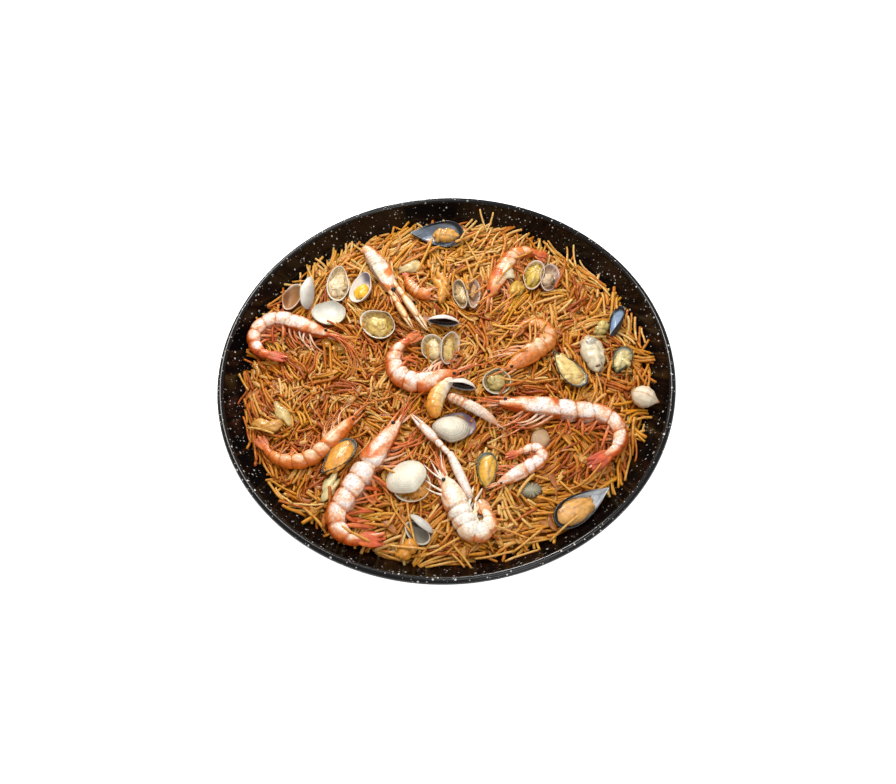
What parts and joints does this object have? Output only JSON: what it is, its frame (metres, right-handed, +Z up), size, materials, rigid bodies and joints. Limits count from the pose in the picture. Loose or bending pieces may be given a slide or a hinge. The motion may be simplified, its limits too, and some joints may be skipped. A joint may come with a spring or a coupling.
{
  "type": "paella in its pan",
  "caption": "Browned noodle paella topped with prawns, langoustines, clams and mussels, in a wide shallow speckled black enamel pan with a rolled rim.",
  "frame": {"origin": "centre of the pan's flat base, on the surface it stands on", "axes": "+Z up out of the pan; +X to the right and +Y to the back as the dish is served"},
  "size_m": [0.4598, 0.4598, 0.0494],
  "materials": {
    "enamel": "gloss vitreous enamel with light specks",
    "noodle": "oily, browned",
    "prawn": "cooked shell, wet sheen",
    "langoustine": "cooked shell, wet sheen",
    "clam_shell": "smooth shell, pearly inside",
    "mussel_shell": "polished shell, pearly inside",
    "shellfish_meat": "moist",
    "cuttlefish": "moist",
    "garlic": "waxy"
  },
  "bodies": {
    "root": {"pan": "enamel", "noodle_bed": "noodle", "prawn_left": "prawn", "prawn_centre": "prawn", "prawn_right": "prawn", "prawn_front_left": "prawn", "shrimp_left": "prawn", "shrimp_front_right": "prawn", "prawn_back_right": "prawn", "prawn_right_centre": "prawn", "shrimp_back": "prawn", "claw_centre": "langoustine", "garlic_clove": "garlic", "langoustine_back": "langoustine", "langoustine_front": "langoustine", "clam_back_left": "clam_shell", "clam_white_tall": "clam_shell", "clam_cream_left": "clam_shell", "clam_white_oval": "clam_shell", "clam_yellow_left": "clam_shell", "clam_amber": "clam_shell", "clam_centre_standing": "clam_shell", "clam_centre_open": "clam_shell", "clam_back_pair": "clam_shell", "clam_back_right": "clam_shell", "clam_grey_centre": "clam_shell", "clam_dark_hollow": "clam_shell", "clam_striped": "clam_shell", "clam_white_round": "clam_shell", "clam_grey_front": "clam_shell", "clam_ridged": "clam_shell", "clam_grey_right": "clam_shell", "mussel_back": "mussel_shell", "mussel_blue": "mussel_shell", "mussel_cream_large": "mussel_shell", "mussel_small_right": "mussel_shell", "mussel_right_centre": "mussel_shell", "mussel_front_right": "mussel_shell", "mussel_amber_left": "mussel_shell", "mussel_amber_front": "mussel_shell", "clam_meat_front": "shellfish_meat", "mussel_meat_right": "shellfish_meat", "mussel_meat_left": "shellfish_meat", "mussel_meat_back": "shellfish_meat", "mussel_meat_centre": "shellfish_meat", "clam_meat_right": "shellfish_meat", "cuttlefish_back": "cuttlefish", "cuttlefish_front": "cuttlefish", "cuttlefish_left": "cuttlefish", "cuttlefish_back_left": "cuttlefish"}
  },
  "joints": []
}
